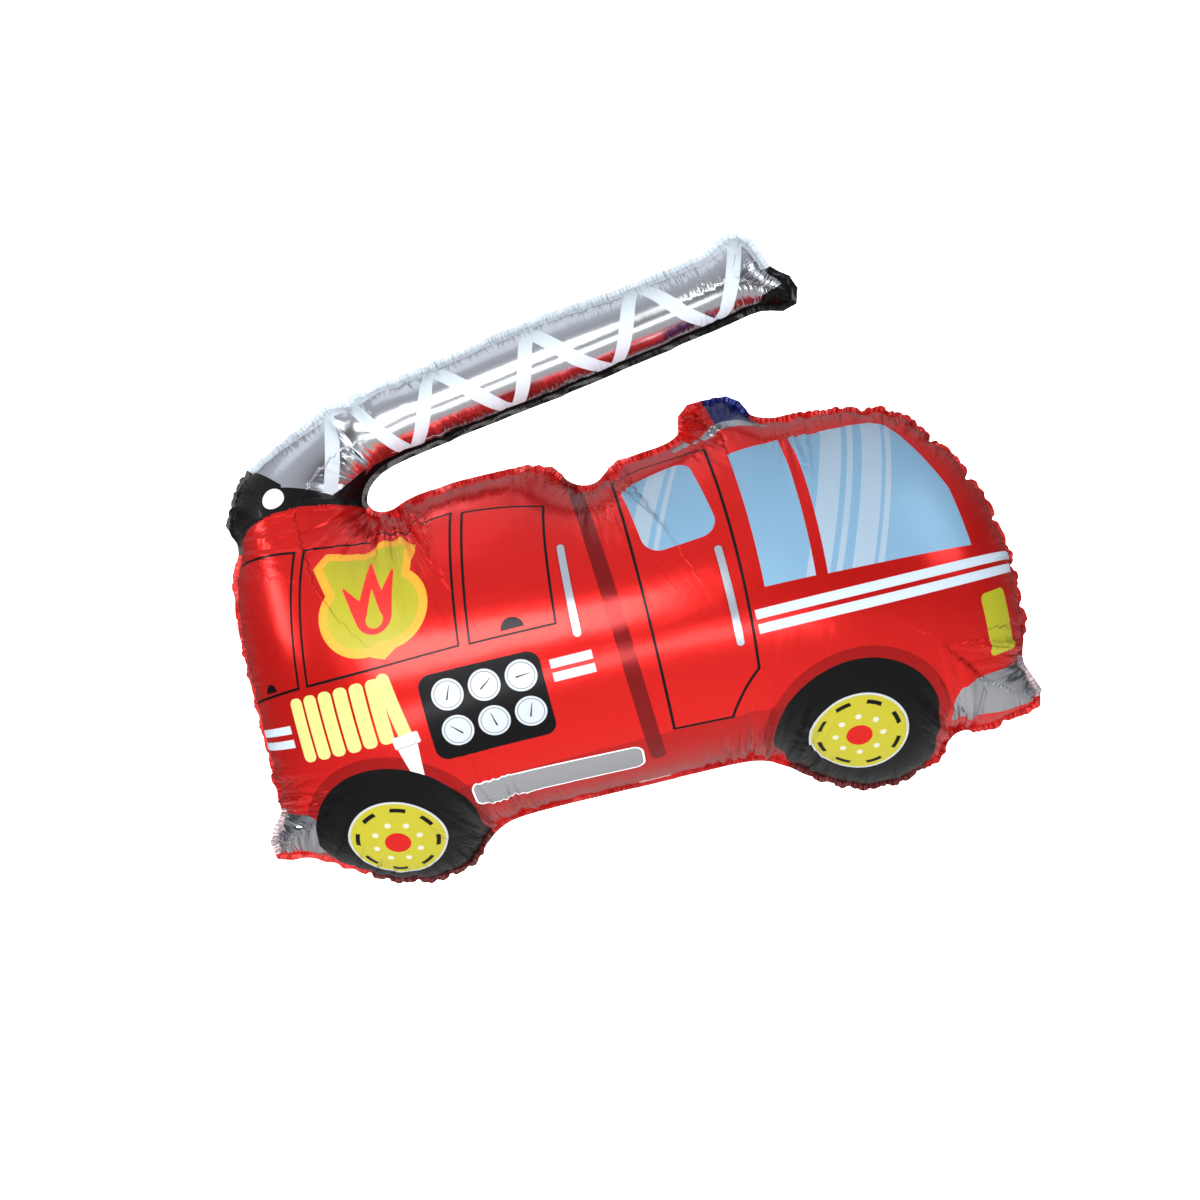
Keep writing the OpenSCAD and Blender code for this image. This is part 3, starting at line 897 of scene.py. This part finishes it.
def studio():
    """A white floor that curves up into a distant wall, soft windows and a plain room."""
    low, reach, cove = -0.75, 7.0, 2.0
    profile = [(-7.0, low), (-3.5, low), (0.0, low), (reach - cove, low)]
    profile += [(reach - cove * math.cos(a), low + cove - cove * math.sin(a))
                for a in (math.radians(90 - 7.5 * i) for i in range(1, 13))]
    profile += [(reach, 3.0), (reach, 7.0)]
    points = [(x, y, z) for x in (-8.0, 8.0) for y, z in profile]
    n = len(profile)
    mesh = bpy.data.meshes.new("floor")
    mesh.from_pydata(points, [], [(i, i + 1, n + i + 1, n + i) for i in range(n - 1)])
    mesh.polygons.foreach_set("use_smooth", [True] * (n - 1))
    s = Shader("floor paint")
    place = s.node("ShaderNodeTexCoord").outputs["Object"]
    tone = s.mix(s.noise(place, 1.5), srgb(247, 247, 248), srgb(251, 251, 251))
    shader = s.node("ShaderNodeBsdfPrincipled", {"Base Color": tone, "Roughness": 0.9,
                                                 "Emission Color": (1, 1, 1, 1), "Emission Strength": 0.8})
    s.node("ShaderNodeOutputMaterial", {"Surface": shader.outputs[0]})
    mesh.materials.append(s.material)
    floor = bpy.data.objects.new("floor", mesh)
    bpy.context.scene.collection.objects.link(floor)
    floor.visible_glossy = False

    def area(name, at, aim, width, height, power, colour=(1, 1, 1)):
        data = bpy.data.lights.new(name, "AREA")
        data.shape = "RECTANGLE"
        data.size, data.size_y, data.energy, data.color = width, height, power, colour
        light = bpy.data.objects.new(name, data)
        light.location = at
        light.rotation_euler = (Vector(aim) - Vector(at)).to_track_quat("-Z", "Y").to_euler()
        bpy.context.scene.collection.objects.link(light)

    area("window", (-1.1, -3.5, 1.1), (0, 0, 0.2), 2.6, 1.4, 104, (1.0, 0.97, 0.94))
    area("low window", (-0.3, -2.1, -0.55), (0, 0, 0.1), 2.4, 0.34, 13)
    area("side window", (3.0, -1.2, 1.2), (0, 0, 0.1), 1.0, 1.8, 16, (0.93, 0.97, 1.0))
    area("other side window", (-3.0, -0.9, 1.7), (0, 0, 0.1), 0.6, 1.6, 18, (1.0, 0.97, 0.94))
    area("top", (-0.4, 0.2, 2.8), (0, 0, 0.2), 2.4, 1.2, 3)

    world = bpy.data.worlds.new("studio")
    world.use_nodes = True
    tree = world.node_tree
    direction = tree.nodes.new("ShaderNodeTexCoord")
    parts = tree.nodes.new("ShaderNodeSeparateXYZ")
    ramp = tree.nodes.new("ShaderNodeValToRGB")
    height = tree.nodes.new("ShaderNodeMath")
    height.operation = "MULTIPLY_ADD"
    height.inputs[1].default_value = height.inputs[2].default_value = 0.5
    tree.links.new(direction.outputs["Generated"], parts.inputs[0])
    tree.links.new(parts.outputs[2], height.inputs[0])
    tree.links.new(height.outputs[0], ramp.inputs[0])
    seen = tree.nodes.new("ShaderNodeMix")          # the room is plain white where it is seen directly
    seen.data_type = "RGBA"
    seen.inputs[7].default_value = (1, 1, 1, 1)
    tree.links.new(tree.nodes.new("ShaderNodeLightPath").outputs["Is Camera Ray"], seen.inputs[0])
    tree.links.new(ramp.outputs[0], seen.inputs[6])
    tree.links.new(seen.outputs[2], tree.nodes["Background"].inputs["Color"])
    stops = ramp.color_ramp.elements
    stops[0].position, stops[0].color = 0.0, (0.62, 0.60, 0.58, 1)
    stops[1].position, stops[1].color = 1.0, (0.56, 0.58, 0.62, 1)
    for place, colour in ((0.34, (0.28, 0.28, 0.29)), (0.44, (0.08, 0.08, 0.084)),
                          (0.58, (0.07, 0.07, 0.07)), (0.76, (0.32, 0.32, 0.34))):
        stops.new(place).color = (*colour, 1)
    tree.nodes["Background"].inputs["Strength"].default_value = 1.0
    bpy.context.scene.world = world
    bpy.context.scene.view_settings.view_transform = "Standard"


# ---------------------------------------------------------------- putting it together

add_camera()
sheet, inflated = inflated_sheet()
inflated, share, strength = add_pleats(sheet, inflated)
inks = [truck_print(), ladder_print()]
corner, area_flat = sheet.cut[sheet.seam], signed_area(sheet.cut[sheet.seam])
rim, _, rim_length = edge_distance(sheet.cut, corner)

for name, side, nodes in (("film_front", -1, ("truck_front_panel", "ladder_front_panel")),
                          ("film_back", 1, ("truck_back_panel", "ladder_back_panel"))):
    piece = film_piece(name, sheet, inflated, share, strength, rim, side, inks)
    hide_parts(*nodes)
    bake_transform(piece)

tail, valve = tail_foil(), valve_clear()
for node, material in (("tail_front_film", tail), ("tail_back_film", tail),
                       ("valve_front_film", valve), ("valve_back_film", valve)):
    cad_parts[node].material_slots[0].material = material

studio()
